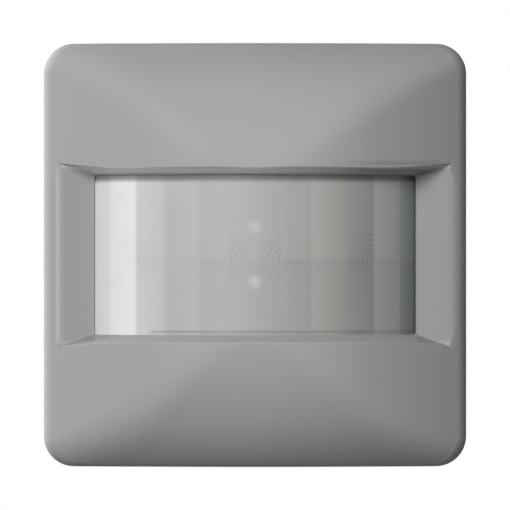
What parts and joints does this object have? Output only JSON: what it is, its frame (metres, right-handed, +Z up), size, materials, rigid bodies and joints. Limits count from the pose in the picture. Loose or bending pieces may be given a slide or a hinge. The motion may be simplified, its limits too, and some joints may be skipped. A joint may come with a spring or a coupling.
{
  "type": "motion sensor light switch",
  "caption": "Square domed wall motion sensor with a curved segmented lens in a window recess, plugged onto a flush relay insert with support ring and claws.",
  "frame": {"origin": "centre of the support ring's rear face, which lies on the wall", "axes": "+X to the right seen from the front, +Y into the wall, +Z up; the front looks along -Y"},
  "size_m": [0.063, 0.0543, 0.063],
  "materials": {
    "cover_plastic": "fine satin, light grey",
    "lens_plastic": "milky translucent, fine Fresnel rings",
    "black_plastic": "black, fine texture",
    "grey_plastic": "mid grey, fine texture",
    "white_plastic": "off-white, fine texture",
    "dial_plastic": "orange, moulded",
    "lever_plastic": "orange-red, moulded",
    "board_laminate": "green solder mask",
    "zinc_steel": "zinc plated sheet",
    "spring_steel": "bright spring strip",
    "screw_steel": "passivated steel",
    "can_metal": "nickel plated can",
    "filter_silicon": "dark infrared filter",
    "clear_epoxy": "dark photodiode epoxy",
    "red_epoxy": "red diffuse lamp body",
    "chip_epoxy": "black moulding compound",
    "chip_ceramic": "tan ceramic chips",
    "capacitor_sleeve": "dark blue sleeve",
    "trimmer_plastic": "blue moulded bodies",
    "contact_brass": "tinned and bare brass",
    "film_box": "ochre capacitor box",
    "varistor_lacquer": "blue lacquer",
    "copper_winding": "enamelled copper",
    "relay_iron": "nickel plated iron",
    "ferrite": "dark ferrite"
  },
  "bodies": {
    "flush_insert": {"support_ring": "zinc_steel", "insert_housing": "grey_plastic", "insert_front_plate": "grey_plastic", "assembly_screws": "screw_steel", "socket_block": "white_plastic", "socket_contacts": "contact_brass", "power_board": "board_laminate", "relay_base": "black_plastic", "relay_bobbin": "white_plastic", "relay_winding": "copper_winding", "relay_core": "relay_iron", "relay_yoke": "relay_iron", "relay_hinge_spring": "spring_steel", "relay_fixed_contact": "contact_brass", "relay_cover": "trimmer_plastic", "film_capacitor": "film_box", "electrolytic_capacitor": "capacitor_sleeve", "varistor": "varistor_lacquer", "fuse": "black_plastic", "choke_coil": "ferrite", "terminal_block": "white_plastic", "clamp_springs": "spring_steel", "clamp_bars": "contact_brass", "claw_pins": "screw_steel"},
    "sensor_head": {"front_cover": "cover_plastic", "fresnel_lens": "lens_plastic", "lens_frame": "black_plastic", "rear_housing": "grey_plastic", "sensor_board": "board_laminate", "pyro_base": "black_plastic", "pyro_can": "can_metal", "pyro_window": "filter_silicon", "pyro_leads": "contact_brass", "light_sensor": "clear_epoxy", "indicator_led": "red_epoxy", "microcontroller": "chip_epoxy", "chip_parts": "chip_ceramic", "sensor_capacitor": "capacitor_sleeve", "trimmer_bodies": "trimmer_plastic", "plug_body": "black_plastic", "plug_pins": "contact_brass", "retaining_spring_left": "spring_steel", "retaining_spring_right": "spring_steel", "cover_screws": "screw_steel", "board_screws": "screw_steel"},
    "brightness_dial_body": {"brightness_dial": "dial_plastic"},
    "delay_dial_body": {"delay_dial": "dial_plastic"},
    "range_dial_body": {"range_dial": "dial_plastic"},
    "release_lever_live_body": {"release_lever_live": "lever_plastic"},
    "release_lever_neutral_body": {"release_lever_neutral": "lever_plastic"},
    "release_lever_load_body": {"release_lever_load": "lever_plastic"},
    "release_lever_extension_body": {"release_lever_extension": "lever_plastic"},
    "claw_left_body": {"claw_left": "zinc_steel"},
    "claw_right_body": {"claw_right": "zinc_steel"},
    "claw_screw_left_body": {"claw_screw_left": "screw_steel"},
    "claw_screw_right_body": {"claw_screw_right": "screw_steel"},
    "relay_armature_body": {"relay_armature": "relay_iron"}
  },
  "joints": [
    {"name": "head_pull_off", "type": "slide", "parent": "flush_insert", "child": "sensor_head", "axis": [0, -1, 0], "range_m": [0, 0.03]},
    {"name": "brightness_dial_turn", "type": "hinge", "parent": "sensor_head", "child": "brightness_dial_body", "pos_m": [-0.011, -0.0049, 0.017], "axis": [0, 1, 0], "range_deg": [-135, 135]},
    {"name": "delay_dial_turn", "type": "hinge", "parent": "sensor_head", "child": "delay_dial_body", "pos_m": [0, -0.0049, 0.017], "axis": [0, 1, 0], "range_deg": [-135, 135]},
    {"name": "range_dial_turn", "type": "hinge", "parent": "sensor_head", "child": "range_dial_body", "pos_m": [0.011, -0.0049, 0.017], "axis": [0, 1, 0], "range_deg": [-135, 135]},
    {"name": "release_live_press", "type": "slide", "parent": "flush_insert", "child": "release_lever_live_body", "axis": [0, -1, 0], "range_m": [0, 0.0015], "stiffness_N_per_m": 1500, "springref_m": -0.0004},
    {"name": "release_neutral_press", "type": "slide", "parent": "flush_insert", "child": "release_lever_neutral_body", "axis": [0, -1, 0], "range_m": [0, 0.0015], "stiffness_N_per_m": 1500, "springref_m": -0.0004},
    {"name": "release_load_press", "type": "slide", "parent": "flush_insert", "child": "release_lever_load_body", "axis": [0, -1, 0], "range_m": [0, 0.0015], "stiffness_N_per_m": 1500, "springref_m": -0.0004},
    {"name": "release_extension_press", "type": "slide", "parent": "flush_insert", "child": "release_lever_extension_body", "axis": [0, -1, 0], "range_m": [0, 0.0015], "stiffness_N_per_m": 1500, "springref_m": -0.0004},
    {"name": "armature_pull_in", "type": "hinge", "parent": "flush_insert", "child": "relay_armature_body", "pos_m": [0.0092, 0.02, 0.0095], "axis": [0, 0, 1], "range_deg": [0, 3.5], "stiffness_Nm_per_rad": 0.02, "springref_deg": -8.59},
    {"name": "claw_screw_left_turn", "type": "hinge", "parent": "flush_insert", "child": "claw_screw_left_body", "pos_m": [-0.0252, -0.0012, 0], "axis": [0, 1, 0], "range_deg": [0, 2900]},
    {"name": "claw_left_spread", "type": "hinge", "parent": "flush_insert", "child": "claw_left_body", "pos_m": [-0.0225, 0.0038, 0], "axis": [0, 0, 1], "range_deg": [0, 25]},
    {"name": "claw_screw_right_turn", "type": "hinge", "parent": "flush_insert", "child": "claw_screw_right_body", "pos_m": [0.0252, -0.0012, 0], "axis": [0, 1, 0], "range_deg": [0, 2900]},
    {"name": "claw_right_spread", "type": "hinge", "parent": "flush_insert", "child": "claw_right_body", "pos_m": [0.0225, 0.0038, 0], "axis": [0, 0, -1], "range_deg": [0, 25]}
  ],
  "couplings": [
    {"joint": "claw_screw_left_turn", "follows": "claw_left_spread", "ratio": 115.2},
    {"joint": "claw_screw_right_turn", "follows": "claw_right_spread", "ratio": 115.2}
  ]
}
